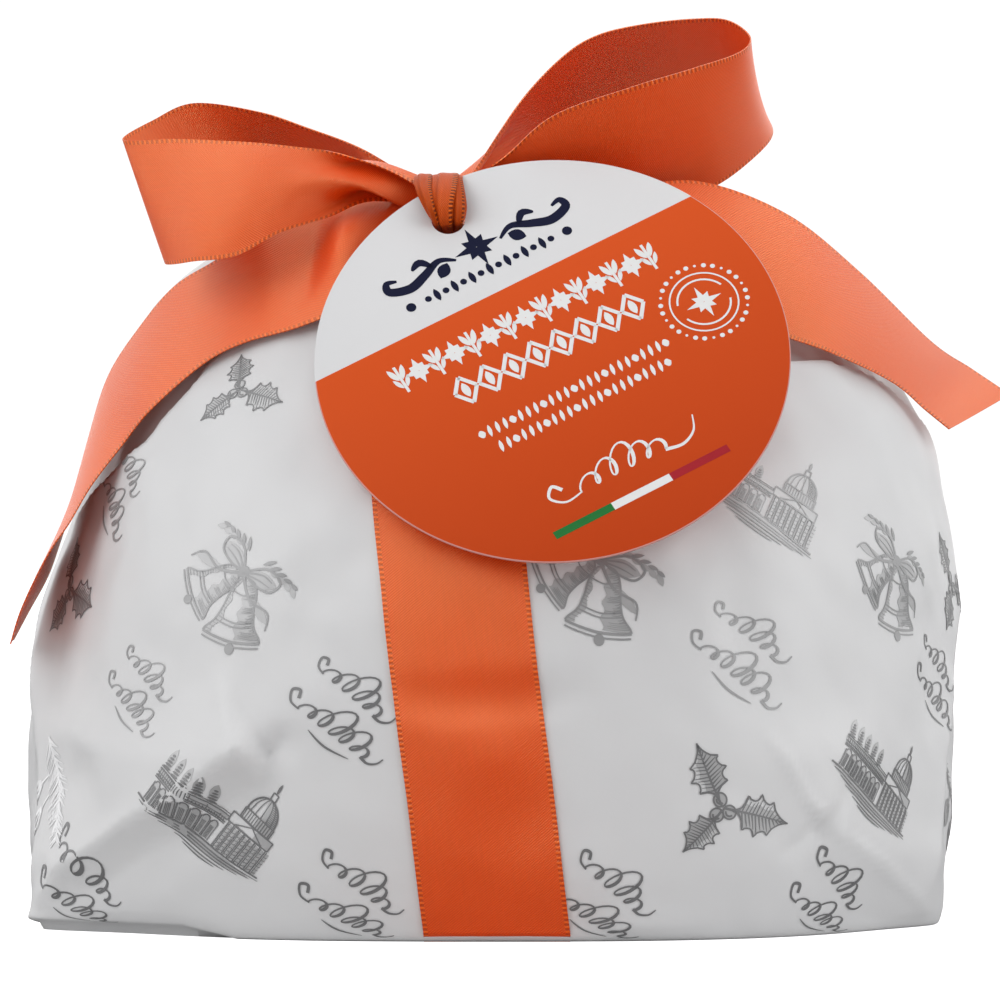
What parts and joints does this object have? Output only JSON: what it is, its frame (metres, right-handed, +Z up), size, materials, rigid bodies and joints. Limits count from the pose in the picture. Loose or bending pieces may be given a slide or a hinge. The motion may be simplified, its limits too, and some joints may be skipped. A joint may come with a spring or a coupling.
{
  "type": "gift-wrapped panettone",
  "caption": "Low domed sweet loaf in its baking case and tied bag, wrapped in printed white paper, tied with a satin ribbon and bow that hold a round card tag.",
  "frame": {"origin": "on the surface the cake stands on, below the middle of the whole object, ribbon tails and tag included", "axes": "+X to the right along the bow, +Y to the back, +Z up; the tag and the bow face -Y"},
  "size_m": [0.2535, 0.2271, 0.2282],
  "materials": {
    "bread": "baked golden-brown crust, matt and slightly wrinkled",
    "baking_paper": "brown fluted baking paper, matt",
    "film": "clear food film, glossy",
    "twist_wire": "gold foil over a twist wire",
    "wrapping_paper": "white coated paper with a soft sheen and silver foil print",
    "satin": "orange double-faced satin ribbon with woven picot edges",
    "tag_card": "smooth coated card, white upper part and orange lower part, matt"
  },
  "bodies": {
    "root": {"loaf": "bread", "baking_case": "baking_paper", "inner_bag": "film", "bag_tie": "twist_wire", "wrapper": "wrapping_paper", "ribbon_band": "satin", "bow_loop_left": "satin", "bow_loop_right": "satin", "bow_tail_left": "satin", "bow_tail_right": "satin", "bow_knot": "satin", "knot_wrap": "satin", "tag": "tag_card"}
  },
  "joints": []
}
